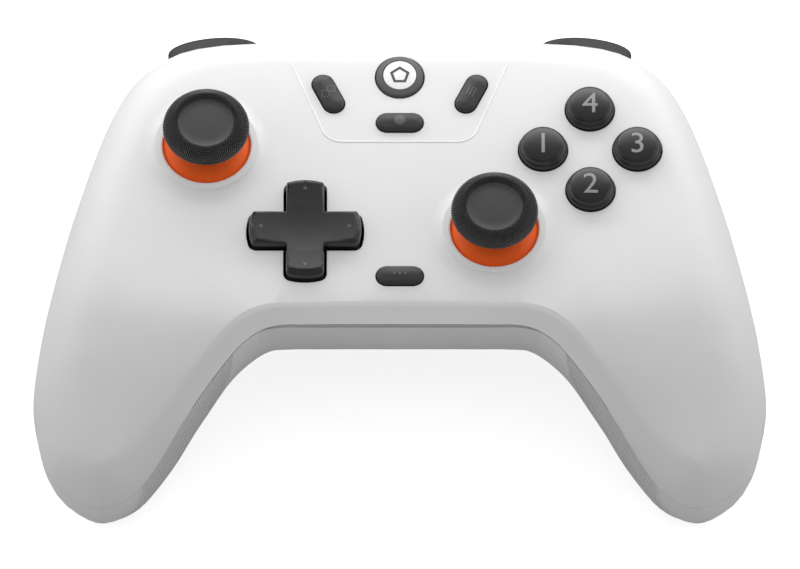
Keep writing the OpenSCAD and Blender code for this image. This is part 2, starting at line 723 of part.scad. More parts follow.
// Height and distance in from the skirt, up one side of an arm that leans in by the given amount
function dpad_side(lean) = concat(
    [for (a = [0 : 22.5 : 90])
        [(lean - dpad_step) * (1 - cos(a)), dpad_skirt + (dpad_h - dpad_plate - dpad_skirt) * sin(a)]],
    [[lean, dpad_h - dpad_plate], [lean, dpad_h + 1]]
);
module dpad_bar() {
    w = dpad_arm / 2;
    side = dpad_side((dpad_arm - dpad_top) / 2);
    rotate([90, 0, 90]) translate([0, 0, -dpad_d / 2]) linear_extrude(dpad_d) polygon(concat(
        [[-w, dpad_foot], [w, dpad_foot]],
        [for (p = side) [w - p[0], face_z + p[1]]],
        [for (i = [len(side) - 1 : -1 : 0]) [side[i][0] - w, face_z + side[i][1]]]
    ));
}
// Outline of the cross, grown for its hole in the face
module dpad_outline(grow) {
    r = dpad_d / 2 + grow;
    w = dpad_arm / 2 + grow;
    corner = dpad_corner + grow;
    side = w - corner;
    reach = sqrt(pow(r - corner, 2) - side * side);
    for (a = [0 : 90 : 270]) rotate(a) {
        translate([0, -w]) square([reach, 2 * w]);
        for (y = [-side, side]) translate([reach, y]) circle(r = corner);
        intersection() {
            circle(r = r);
            translate([0, -r * side / (r - corner)]) square([r, 2 * r * side / (r - corner)]);
        }
    }
}
module dpad_cross() {
    end = dpad_side(dpad_end_in);
    intersection() {
        translate([0, 0, dpad_foot]) linear_extrude(face_z + dpad_h - dpad_foot) dpad_outline(0);
        union() {
            dpad_bar();
            rotate([0, 0, 90]) dpad_bar();
        }
        rotate_extrude() polygon(concat(
            [[0, dpad_foot - 1], [dpad_d / 2, dpad_foot - 1]],
            [for (p = end) [dpad_d / 2 - p[0], face_z + p[1]]],
            [[0, face_z + dpad_h + 1]]
        ));
    }
}
dish_depth = 1;
// The dish runs out at the ends of the top plate
dish_r = pow(dpad_d / 2 - dpad_end_in, 2) / (2 * dish_depth);
module dpad() {
    color("#222222") at(dpad_at) {
        difference() {
            dpad_cross();
            translate([0, 0, face_z + dpad_h - dish_depth + dish_r]) sphere(r = dish_r);
            translate([0, 0, dpad_foot - 1]) cylinder(r = dpad_room, h = dpad_pivot + 2.2 - dpad_foot + 1);
        }
        translate([0, 0, dpad_pivot]) stem(3);
    }
}

// Buttons: a body with a rounded crown, a flange behind the face and a plunger
// A face button has a flared foot, a step and a domed top
foot_h = 0.9;
foot_step = 0.5;
dome_round = 0.8;
dome_rise = 0.45;
module face_profile() {
    r = face_d / 2;
    in = r - foot_step - dome_round;
    top = face_z + face_h - dome_rise;
    polygon(concat(
        [[0, flange_bottom], [r, flange_bottom]],
        [for (a = [0 : 22.5 : 90]) [r - foot_step * sin(a), face_z + foot_h + foot_step * (1 - cos(a))]],
        [for (a = [0 : 15 : 75]) [in + dome_round * cos(a), top - dome_round + dome_round * sin(a)]],
        [for (t = [0 : 0.25 : 1]) [in * (1 - t), top + dome_rise * t * (2 - t)]]
    ));
}
module face_button(i) {
    color("#222222") at(face_at[i]) {
        rotate_extrude() face_profile();
        translate([0, 0, flange_bottom]) cylinder(d = face_d + 2 * flange_rim, h = flange_t);
        translate([0, 0, board_top + pad_t + face_travel + 1])
            cylinder(r = plunger_r, h = flange_bottom - board_top - pad_t - face_travel);
    }
}
module left_face_button() {
    face_button(0);
}
module lower_face_button() {
    face_button(1);
}
module right_face_button() {
    face_button(2);
}
module upper_face_button() {
    face_button(3);
}

// Stem of a small button, down to just above its switch
module small_stem() {
    low = board_top + switch_h + small_travel + 0.2;
    translate([0, 0, low]) cylinder(r = 1.4, h = flange_bottom - low + 0.5);
}
module pill() {
    pill_crown = 0.9;
    pill_rise = 0.2;
    top = face_z + pill_h - pill_rise;
    r = pill_w / 2;
    in = r - pill_crown;
    half = concat(
        [[0, flange_bottom], [r, flange_bottom]],
        [for (a = [0 : 15 : 75]) [in + pill_crown * cos(a), top - pill_crown + pill_crown * sin(a)]],
        [[in, top], [in * 0.5, top + pill_rise * 0.75], [0, top + pill_rise]]
    );
    color("#262626") {
        for (side = [-1, 1]) translate([side * (pill_l - pill_w) / 2, 0, 0]) rotate_extrude() polygon(half);
        rotate([90, 0, 90]) translate([0, 0, -(pill_l - pill_w) / 2]) linear_extrude(pill_l - pill_w) {
            polygon(half);
            mirror([1, 0]) polygon(half);
        }
        translate([0, 0, flange_bottom]) linear_extrude(flange_t)
            stadium(pill_l + 2 * flange_rim, pill_w + 2 * flange_rim);
        small_stem();
    }
}
module view_button() {
    at(view_at) pill_turn(-pair_lean) pill();
}
module menu_button() {
    at(menu_at) pill_turn(pair_lean) pill();
}
module share_button() {
    at(share_at) pill();
}
module mode_button() {
    at(mode_at) pill();
}
inlay_t = 0.5;
// The home button lies near the top edge, so its flange lies deeper, where the face curves down
home_drop = 0.5;
home_crown = 0.7;
home_rise = 0.2;
module home_profile() {
    in = home_d / 2 - home_crown;
    top = face_z + home_h - home_rise;
    polygon(concat(
        [[0, flange_bottom], [home_d / 2, flange_bottom]],
        [for (a = [0 : 15 : 75]) [in + home_crown * cos(a), top - home_crown + home_crown * sin(a)]],
        [[in, top], [inlay_d / 2, top + home_rise], [0, top + home_rise]]
    ));
}
module home_button() {
    color("#404040") at(home_at) {
        difference() {
            rotate_extrude() home_profile();
            translate([0, 0, face_z + home_h - inlay_t]) cylinder(d = inlay_d + 0.1, h = 2);
        }
        translate([0, 0, flange_bottom - home_drop]) cylinder(d = home_d + 2 * flange_rim, h = flange_t);
        small_stem();
    }
}
module home_inlay() {
    color("white") at(home_at, face_z + home_h - inlay_t) cylinder(d = inlay_d, h = inlay_t);
}

// A closed skin through a row of rings with the same number of points
module loft(rings) {
    n = len(rings[0]);
    m = len(rings);
    polyhedron(
        [for (ring = rings) each ring],
        concat(
            [for (i = [0 : m - 2]) for (j = [0 : n - 1])
                let (k = (j + 1) % n)
                let (a = i * n + j, b = i * n + k)
                each [[a, b, b + n], [a, b + n, a + n]]],
            [for (j = [1 : n - 2]) [0, j + 1, j]],
            [for (j = [1 : n - 2]) [(m - 1) * n, (m - 1) * n + j, (m - 1) * n + j + 1]]
        ),
        convexity = 6
    );
}

// Bumper: a bar under the front shell's edge that swells out of it, slowly from its inner end and to a blunt
// outer end
bumper_rows = 20;
bumper_peak = 0.62;
bumper_root = 0.25;
bumper_edge = 0.8;
bumper_round = 2;
bumper_hub = [16, top_y - 5.7];
bumper_hub_r = pin_d / 2 + 1.3;
bracket_t = 1.4;
hub_low = board_top + bracket_t + clearance;
hub_high = hub_low + 4;
function bumper_swell(u) =
    let (rise = u < bumper_peak ? sqrt(1 - pow(1 - u / bumper_peak, 2))
        : pow(1 - pow((u - bumper_peak) / (1 - bumper_peak), 3), 0.22))
    bumper_bulge * (bumper_root + (1 - bumper_root) * rise);
function bumper_ring(u) =
    let (
        s = edge_place(bumper_in + (bumper_out - bumper_in) * u),
        v = along(s),
        w = along(s + 0.02),
        dir = [w[0] - v[0], w[1] - v[1]] / norm([w[0] - v[0], w[1] - v[1]]),
        out = [-dir[1], dir[0]],
        swell = bumper_swell(u),
        top = v[2] - seam_gap / 2 - clearance,
        e = bumper_edge,
        r = bumper_round,
        profile = concat(
            [for (a = [0 : 30 : 90]) [swell - r + r * sin(a), bumper_low + r - r * cos(a)]],
            [for (a = [0 : 30 : 90]) [swell - e + e * cos(a), top - e + e * sin(a)]],
            [[-bumper_t, top], [-bumper_t, bumper_low]]
        )
    )
    [for (i = [len(profile) - 1 : -1 : 0])
        let (p = profile[i])
        [v[0] + out[0] * p[0], v[1] + out[1] * p[0], p[1]]];
module bumper() {
    arm = bumper_in + 4;
    seat = top_y - bumper_t + 0.6;
    difference() {
        union() {
            loft([for (i = [0 : bumper_rows]) bumper_ring((1 - cos(180 * i / bumper_rows)) / 2)]);
            at(bumper_hub, hub_low) cylinder(r = bumper_hub_r, h = hub_high - hub_low);
            translate([0, 0, hub_low]) linear_extrude(hub_high - hub_low) polygon([
                bumper_hub + [0, -1.6], [arm, bumper_hub[1] + 0.35], [arm, seat], [bumper_in + 0.6, seat],
                [bumper_in - slot_gap, bumper_hub[1] + 1.5], bumper_hub + [0, 1.6]]);
        }
        at(bumper_hub, hub_low - 1) cylinder(d = pin_d + 0.2, h = 8);
    }
}
module left_bumper() {
    color("#4a4a4c") mirror([1, 0, 0]) bumper();
}
module right_bumper() {
    color("#4a4a4c") bumper();
}
// Each bracket stands on the board and holds the bumper's pin above and below the hub
module bumper_brackets() {
    x = bumper_hub[0] - 4;
    back = bumper_hub[1] - bumper_hub_r - 1.6;
    front = bumper_hub[1] + 1.9;
    top = hub_high + clearance;
    color("gray") both() difference() {
        union() {
            translate([x, back - 4, board_top]) cube([7, front - back + 4, bracket_t]);
            translate([x, back - bracket_t, board_top]) cube([7, bracket_t, top + bracket_t - board_top]);
            translate([x, back - bracket_t, top]) cube([7, front - back + bracket_t, bracket_t]);
        }
        at(bumper_hub, board_top - 1) cylinder(d = pin_d, h = 20);
    }
}
module bumper_pins() {
    color("silver") both() at(bumper_hub, board_top)
        cylinder(d = pin_d, h = hub_high + clearance + bracket_t - board_top);
}
module bumper_switches() {
    x = bumper_hub[0] + 9.3;
    plunger = 0.7;
    y = bumper_hub[1] - 0.9 - (x - bumper_hub[0]) * sin(bumper_swing) - plunger;
    color("slategray") both() {
        translate([x - 1.8, y - 4, board_top]) cube([3.6, 4, 5]);
        translate([x, y - 0.2, board_top + 3.4]) rotate([-90, 0, 0]) cylinder(d = 1.6, h = plunger + 0.2);
    }
}

// Trigger: a hollow-faced finger piece that flares out at its tip, on a hub and two cheeks
trigger_rows = 12;
trigger_points = 8;
trigger_edge = 1.1;
trigger_sweep = 2.6;
function bezier(a, b, c, d, t) =
    a * pow(1 - t, 3) + 3 * b * t * pow(1 - t, 2) + 3 * c * t * t * (1 - t) + d * pow(t, 3);
function trigger_ring(u) =
    let (
        x = trigger_x + trigger_w * u,
        sweep = trigger_sweep * pow(u, 2),
        edge = trigger_edge * pow(abs(2 * u - 1), 6),
        y = trigger_y - edge,
        in = trigger_y - trigger_d,
        face = [for (i = [0 : trigger_points])
            bezier([y, trigger_top], [y - 1.8, trigger_top - 8], [y - 5.6, trigger_tip + 8],
                [y, trigger_tip + 0.6], i / trigger_points)],
        back = [for (i = [trigger_points : -1 : 0])
            bezier([in, trigger_top], [in - 0.4, trigger_top - 8], [in, trigger_tip + 7],
                [y - trigger_t * 0.6, trigger_tip], i / trigger_points)]
    )
    [for (p = concat(face, back)) [x, p[0] - sweep, p[1]]];
cheek_t = 2;
module trigger() {
    y = trigger_pin[0];
    z = trigger_pin[1];
    difference() {
        union() {
            loft([for (i = [0 : trigger_rows]) trigger_ring(i / trigger_rows)]);
            translate([trigger_x, y, z]) rotate([0, 90, 0]) cylinder(r = hub_r, h = trigger_w);
            for (side = [0, trigger_w - cheek_t]) translate([trigger_x + side, 0, 0]) rotate([90, 0, 90])
                linear_extrude(cheek_t) polygon([
                    [y, z + hub_r], [trigger_y - trigger_sweep - 2, trigger_top - 0.6],
                    [trigger_y - trigger_d, trigger_top - 11], [y, z - hub_r]]);
        }
        translate([trigger_x - 1, y, z]) rotate([0, 90, 0]) cylinder(d = pin_d + 0.2, h = trigger_w + 2);
    }
}
module left_trigger() {
    color("#4a4a4c") mirror([1, 0, 0]) trigger();
}
module right_trigger() {
    color("#4a4a4c") trigger();
}
// Each bracket hangs under the board, with an ear on each side of the trigger's hub
ear_t = 1.6;
ear_r = 2.4;
module trigger_brackets() {
    y = trigger_pin[0];
    z = trigger_pin[1];
    left = trigger_x - clearance - ear_t;
    right = trigger_out + clearance;
    plate_end = y - hub_r - 1.6;
    color("gray") both() difference() {
        union() {
            translate([left, 21, board_bottom - 1.5]) cube([right + ear_t - left, plate_end - 21, 1.5]);
            for (x = [left, right]) translate([x, 0, 0]) rotate([90, 0, 90]) linear_extrude(ear_t) {
                translate([y, z]) circle(r = ear_r);
                polygon([[plate_end - 2, board_bottom], [plate_end, board_bottom],
                    [y, z + ear_r], [y, z - ear_r], [plate_end - 2, z - ear_r]]);
            }
        }
        translate([left - 1, y, z]) rotate([0, 90, 0]) cylinder(d = pin_d, h = 30);
    }
}
module trigger_pins() {
    color("silver") both() translate([trigger_x - clearance - ear_t, trigger_pin[0], trigger_pin[1]])
        rotate([0, 90, 0]) cylinder(d = pin_d, h = trigger_w + 2 * clearance + 2 * ear_t);
}
// Torsion spring round the hub: a helix of wire
spring_turns = 4;
spring_wire = 0.8;
spring_steps = 14;
spring_sides = 6;
module trigger_spring() {
    r = hub_r + spring_wire / 2 + 0.4;
    pitch = spring_wire + 0.5;
    steps = spring_turns * spring_steps;
    translate([trigger_x + cheek_t + 3, trigger_pin[0], trigger_pin[1]]) loft([for (i = [0 : steps])
        let (a = 360 * i / spring_steps, along_x = pitch * i / spring_steps)
        [for (k = [0 : spring_sides - 1]) let (
            b = 360 * k / spring_sides,
            q = r + spring_wire / 2 * cos(b))
            [along_x + spring_wire / 2 * sin(b), q * cos(a), q * sin(a)]]
    ]);
}
module left_trigger_spring() {
    color("silver") mirror([1, 0, 0]) trigger_spring();
}
module right_trigger_spring() {
    color("silver") trigger_spring();
}

// Vibration motors: a can on its post, with an eccentric weight on the shaft
motor_can_h = 17;
shaft_r = 0.9;
weight_h = 5;
module motor(d) {
    difference() {
        union() {
            translate([0, 0, motor_low]) cylinder(d = d, h = motor_can_h);
            translate([0, 0, motor_low + motor_can_h]) cylinder(r = 2.2, h = 0.8);
        }
        translate([0, 0, motor_low + 8]) cylinder(r = shaft_r + 0.15, h = motor_can_h);
    }
}
module motor_weight(d) {
    z = motor_low + motor_can_h + 1.2;
    translate([0, 0, motor_low + 8.3]) cylinder(r = shaft_r, h = z - motor_low - 8.3 + weight_h);
    translate([0, 0, z]) difference() {
        cylinder(d = d + 1, h = weight_h);
        translate([-d, 1.8, -1]) cube([2 * d, d, weight_h + 2]);
    }
}
module left_motor() {
    color("silver") at([-motor_at[0], motor_at[1]]) motor(left_motor_d);
}
module left_motor_weight() {
    color("gray") at([-motor_at[0], motor_at[1]]) motor_weight(left_motor_d);
}
module right_motor() {
    color("silver") at(motor_at) motor(right_motor_d);
}
module right_motor_weight() {
    color("gray") at(motor_at) motor_weight(right_motor_d);
}

front_shell();
back_shell();
main_board();
battery_pack();
charging_socket();
face_contact_pad();
dpad_contact_pad();
push_switches();
case_screws();
board_screws();
left_stick_base();
left_stick_cradle();
left_stick_yoke();
left_stick_dome();
left_stick_cap();
right_stick_base();
right_stick_cradle();
right_stick_yoke();
right_stick_dome();
right_stick_cap();
dpad_bracket();
dpad_yoke();
dpad();
left_face_button();
lower_face_button();
right_face_button();
upper_face_button();
view_button();
menu_button();
share_button();
mode_button();
home_button();
home_inlay();
bumper_brackets();
bumper_pins();
bumper_switches();
left_bumper();
right_bumper();
trigger_brackets();
trigger_pins();
left_trigger_spring();
right_trigger_spring();
left_trigger();
right_trigger();
left_motor();
left_motor_weight();
right_motor();
right_motor_weight();
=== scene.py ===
import bpy
import math
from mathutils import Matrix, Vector


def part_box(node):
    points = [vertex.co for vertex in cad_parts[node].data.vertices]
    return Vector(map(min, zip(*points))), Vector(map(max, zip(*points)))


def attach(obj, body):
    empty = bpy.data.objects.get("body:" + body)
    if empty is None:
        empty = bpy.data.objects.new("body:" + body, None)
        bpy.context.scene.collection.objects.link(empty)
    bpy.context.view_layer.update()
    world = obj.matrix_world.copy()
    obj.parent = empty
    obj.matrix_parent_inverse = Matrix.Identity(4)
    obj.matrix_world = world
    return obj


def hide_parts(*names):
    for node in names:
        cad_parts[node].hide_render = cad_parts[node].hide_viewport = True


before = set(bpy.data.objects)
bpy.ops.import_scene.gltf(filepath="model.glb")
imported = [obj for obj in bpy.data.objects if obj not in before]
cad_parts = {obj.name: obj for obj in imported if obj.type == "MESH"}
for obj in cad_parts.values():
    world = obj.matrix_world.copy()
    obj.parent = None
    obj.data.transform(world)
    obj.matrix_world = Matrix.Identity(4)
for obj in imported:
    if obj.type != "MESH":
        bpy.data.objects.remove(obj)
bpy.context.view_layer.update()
scene = bpy.context.scene
scene.view_settings.view_transform = "Standard"
mm = 0.001
near = 0.01 * mm  # slack when a point is tested against a ring or a plane

# camera: a long lens that looks down on the face
shot = {
    "elevation": 59.0, "lens": 600.0, "sensor": 36.0, "far": 50.0,
    "across": 169.86 * mm, "target": (0.05 * mm, -5.63 * mm, 30.0 * mm),
}


def addCamera():
    tilt = math.radians(shot["elevation"])
    reach = shot["across"] * shot["lens"] / shot["sensor"]
    back = Vector((0.0, -math.cos(tilt), math.sin(tilt)))
    bpy.ops.object.camera_add(
        location=Vector(shot["target"]) + back * reach, rotation=(math.pi / 2 - tilt, 0.0, 0.0))
    camera = bpy.context.object
    camera.data.lens = shot["lens"]
    camera.data.sensor_width = shot["sensor"]
    camera.data.clip_end = shot["far"]
    scene.camera = camera


addCamera()
print("camera set")

# points closer than this are merged, in copies of CAD nodes and in modelled pieces
weld = {"copied": 0.002 * mm, "modelled": 0.001 * mm}


# small tools for modelling
def deselectAll():
    if bpy.context.mode != "OBJECT":
        bpy.ops.object.mode_set(mode="OBJECT")
    bpy.ops.object.select_all(action="DESELECT")


def makeActive(obj):
    deselectAll()
    obj.select_set(True)
    bpy.context.view_layer.objects.active = obj


def editAll(obj, selectMode="VERT"):
    makeActive(obj)
    bpy.ops.object.mode_set(mode="EDIT")
    bpy.ops.mesh.select_mode(type=selectMode)
    bpy.ops.mesh.select_all(action="SELECT")


def pickFaces(obj, wanted):
    editAll(obj, "FACE")
    bpy.ops.mesh.select_all(action="DESELECT")
    bpy.ops.object.mode_set(mode="OBJECT")
    for face in obj.data.polygons:
        face.select = wanted(face)
    bpy.ops.object.mode_set(mode="EDIT")


def pickEdges(obj, wanted):
    editAll(obj, "EDGE")
    bpy.ops.mesh.select_all(action="DESELECT")
    bpy.ops.object.mode_set(mode="OBJECT")
    for edge in obj.data.edges:
        edge.select = wanted(edge)
    bpy.ops.object.mode_set(mode="EDIT")


def applyModifier(obj, kind, **settings):
    makeActive(obj)
    bpy.ops.object.modifier_add(type=kind)
    modifier = obj.modifiers[-1]
    for key, value in settings.items():
        setattr(modifier, key, value)
    bpy.ops.object.modifier_apply(modifier=modifier.name)


def smoothBy(obj, degrees):
    makeActive(obj)
    bpy.ops.object.shade_smooth_by_angle(angle=math.radians(degrees))


def settle(obj):
    makeActive(obj)
    bpy.ops.object.transform_apply(location=True, rotation=True, scale=True)


def closeNormals(obj):
    editAll(obj)
    bpy.ops.mesh.remove_doubles(threshold=weld["modelled"])
    bpy.ops.mesh.normals_make_consistent(inside=False)
    bpy.ops.object.mode_set(mode="OBJECT")


def copyNode(node, name):
    # the CAD mesh is loose triangles, so the copy is merged
    obj = bpy.data.objects.new(name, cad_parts[node].data.copy())
    scene.collection.objects.link(obj)
    obj.data.materials.clear()
    editAll(obj)
    bpy.ops.mesh.remove_doubles(threshold=weld["copied"])
    bpy.ops.object.mode_set(mode="OBJECT")
    return obj


def dress(obj, body, slot, *materials, stands=()):
    obj.data.materials.clear()
    for material in materials:
        obj.data.materials.append(material)
    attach(obj, body)
    if stands:
        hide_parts(*stands)


def middle(node):
    low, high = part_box(node)
    return (low + high) / 2


def offAxis(point, centre):
    return math.hypot(point.x - centre.x, point.y - centre.y)


def revolve(name, centre, sides, profile):
    # rings of (radius, height) pulled out of a circle one after another, the first one filled
    deselectAll()
    bpy.ops.mesh.primitive_circle_add(
        vertices=sides, radius=profile[0][0], location=(centre.x, centre.y, profile[0][1]))
    obj = bpy.context.object
    obj.name = name
    settle(obj)
    editAll(obj)
    for (r0, z0), (r1, z1) in zip(profile, profile[1:]):
        bpy.ops.mesh.extrude_region_move(TRANSFORM_OT_translate={"value": (0.0, 0.0, z1 - z0)})
        if r1 == 0.0:
            bpy.ops.mesh.merge(type="CENTER")
            break
        bpy.ops.transform.resize(value=(r1 / r0, r1 / r0, 1.0), center_override=(centre.x, centre.y, z1))
    bpy.ops.mesh.select_mode(type="EDGE")
    bpy.ops.mesh.select_all(action="DESELECT")
    bpy.ops.mesh.select_non_manifold()
    bpy.ops.mesh.edge_face_add()
    bpy.ops.object.mode_set(mode="OBJECT")
    closeNormals(obj)
    return obj


# grain of moulded and rubber surfaces: what the finishes share unless one says otherwise
grainShape = {
    "fineDetail": 3.0, "patchDetail": 4.0, "patchSpan": (0.3, 0.7),
    "patch": 120.0, "depth": 0.05 * mm, "specular": 0.5, "metal": 0.0,
}
mixFirst, mixSecond, mixResult = 6, 7, 2  # the colour sockets of a Mix node


def buildGrainGroup():
    group = bpy.data.node_groups.new("mouldedGrain", "ShaderNodeTree")
    group.interface.new_socket("Fine Scale", in_out="INPUT", socket_type="NodeSocketFloat")
    group.interface.new_socket("Patch Scale", in_out="INPUT", socket_type="NodeSocketFloat")
    group.interface.new_socket("Height", in_out="OUTPUT", socket_type="NodeSocketFloat")
    group.interface.new_socket("Patch", in_out="OUTPUT", socket_type="NodeSocketFloat")
    nodes, links = group.nodes, group.links
    source = nodes.new("NodeGroupInput")
    result = nodes.new("NodeGroupOutput")
    place = nodes.new("ShaderNodeTexCoord")
    pebble = nodes.new("ShaderNodeTexVoronoi")
    pebble.feature = "SMOOTH_F1"
    fine = nodes.new("ShaderNodeTexNoise")
    fine.inputs["Detail"].default_value = grainShape["fineDetail"]
    both = nodes.new("ShaderNodeMath")
    both.operation = "MULTIPLY"
    patch = nodes.new("ShaderNodeTexNoise")
    patch.inputs["Detail"].default_value = grainShape["patchDetail"]
    links.new(place.outputs["Object"], pebble.inputs["Vector"])
    links.new(place.outputs["Object"], fine.inputs["Vector"])
    links.new(place.outputs["Object"], patch.inputs["Vector"])
    links.new(source.outputs["Fine Scale"], pebble.inputs["Scale"])
    links.new(source.outputs["Fine Scale"], fine.inputs["Scale"])
    links.new(source.outputs["Patch Scale"], patch.inputs["Scale"])
    links.new(pebble.outputs["Distance"], both.inputs[0])
    links.new(fine.outputs["Fac"], both.inputs[1])
    links.new(both.outputs["Value"], result.inputs["Height"])
    links.new(patch.outputs["Fac"], result.inputs["Patch"])
    return group


grainGroup = buildGrainGroup()


def grainMaterial(name, finish):
    # colour and roughness wander between two near values, and the grain lifts the surface
    material = bpy.data.materials.new(name)
    material.use_nodes = True
    nodes, links = material.node_tree.nodes, material.node_tree.links
    shader = nodes["Principled BSDF"]
    grain = nodes.new("ShaderNodeGroup")
    grain.node_tree = grainGroup
    grain.inputs["Fine Scale"].default_value = finish["fine"]
    grain.inputs["Patch Scale"].default_value = finish.get("patch", grainShape["patch"])
    tone = nodes.new("ShaderNodeMix")
    tone.data_type = "RGBA"
    tone.inputs[mixFirst].default_value = (*finish["dark"], 1.0)
    tone.inputs[mixSecond].default_value = (*finish["light"], 1.0)
    rough = nodes.new("ShaderNodeMapRange")
    rough.inputs["From Min"].default_value = grainShape["patchSpan"][0]
    rough.inputs["From Max"].default_value = grainShape["patchSpan"][1]
    rough.inputs["To Min"].default_value = finish["rough"][0]
    rough.inputs["To Max"].default_value = finish["rough"][1]
    bump = nodes.new("ShaderNodeBump")
    bump.inputs["Strength"].default_value = finish["bump"]
    bump.inputs["Distance"].default_value = grainShape["depth"]
    links.new(grain.outputs["Patch"], tone.inputs[0])
    links.new(grain.outputs["Patch"], rough.inputs["Value"])
    links.new(grain.outputs["Height"], bump.inputs["Height"])
    links.new(tone.outputs[mixResult], shader.inputs["Base Color"])
    links.new(rough.outputs["Result"], shader.inputs["Roughness"])
    links.new(bump.outputs["Normal"], shader.inputs["Normal"])
    shader.inputs["Metallic"].default_value = finish.get("metal", grainShape["metal"])
    shader.inputs["Specular IOR Level"].default_value = finish.get("specular", grainShape["specular"])
    return material


def grey(value):
    return (value, value, value)


finishes = {
    "shellWhite": {"light": grey(0.83), "dark": grey(0.80), "rough": (0.42, 0.52), "fine": 3800,
                   "bump": 0.12, "specular": 0.4},
    "lineWhite": {"light": grey(0.97), "dark": grey(0.94), "rough": (0.25, 0.32), "fine": 3000,
                  "bump": 0.02},
    "buttonBlack": {"light": grey(0.013), "dark": grey(0.009), "rough": (0.30, 0.36), "fine": 6000,
                    "bump": 0.08},
    "pillBlack": {"light": grey(0.026), "dark": grey(0.020), "rough": (0.42, 0.5), "fine": 5200,
                  "bump": 0.14},
    "homeGrey": {"light": grey(0.085), "dark": grey(0.072), "rough": (0.42, 0.5), "fine": 5200,
                 "bump": 0.12},
    "inlayWhite": {"light": grey(0.92), "dark": grey(0.89), "rough": (0.24, 0.3), "fine": 4000,
                   "bump": 0.03},
    "capRubber": {"light": grey(0.012), "dark": grey(0.008), "rough": (0.24, 0.3), "fine": 7000,
                  "bump": 0.1},
    "capDisc": {"light": grey(0.030), "dark": grey(0.024), "rough": (0.44, 0.5), "fine": 6000,
                "bump": 0.1},
    "domeOrange": {"light": (0.99, 0.125, 0.003), "dark": (0.95, 0.11, 0.002), "rough": (0.3, 0.36),
                   "fine": 5000, "bump": 0.05, "specular": 0.3},
    "bumperGrey": {"light": grey(0.020), "dark": grey(0.015), "rough": (0.42, 0.5), "fine": 5200,
                   "bump": 0.15, "specular": 0.3},
    "legendGrey": {"light": grey(0.30), "dark": grey(0.26), "rough": (0.4, 0.5), "fine": 5000,
                   "bump": 0.05},
    "markGrey": {"light": grey(0.06), "dark": grey(0.05), "rough": (0.4, 0.5), "fine": 5000,
                 "bump": 0.05},
    "legendDim": {"light": grey(0.10), "dark": grey(0.08), "rough": (0.4, 0.5), "fine": 5000,
                  "bump": 0.05},
    "boardGreen": {"light": (0.02, 0.16, 0.06), "dark": (0.012, 0.11, 0.04), "rough": (0.3, 0.42),
                   "fine": 2200, "bump": 0.2, "patch": 300},
    "foilWrap": {"light": (0.5, 0.52, 0.55), "dark": (0.42, 0.44, 0.47), "rough": (0.3, 0.45),
                 "fine": 900, "bump": 0.2},
    "silicone": {"light": grey(0.34), "dark": grey(0.28), "rough": (0.55, 0.7), "fine": 3000,
                 "bump": 0.2},
    "innerPlastic": {"light": grey(0.13), "dark": grey(0.10), "rough": (0.5, 0.6), "fine": 3500,
                     "bump": 0.2},
    "steel": {"light": grey(0.66), "dark": grey(0.56), "rough": (0.22, 0.34), "fine": 4200,
              "bump": 0.1, "metal": 1.0},
    "screwBlack": {"light": grey(0.07), "dark": grey(0.05), "rough": (0.35, 0.45), "fine": 5000,
                   "bump": 0.1, "metal": 0.8},
}
looks = {name: grainMaterial(name, finish) for name, finish in finishes.items()}
print("materials made:", len(looks))

# ribbed zone on the inner walls of the grips, on the back shell alone
ribs = {
    "pitch": 0.62 * mm, "depth": 0.09 * mm, "strength": 0.8, "across": (-0.65, 0.76, 0.214),
    "top": -27.5 * mm, "topEdge": 0.4 * mm, "low": -47.5 * mm, "lowEdge": 1.2 * mm,
    # the valley colour below darkens the rib valleys: painted shade
    "inward": (-0.25, -0.4), "valleyShade": (0.8, 0.8, 0.79), "valleyShadeWave": (0.6, -0.6),
}


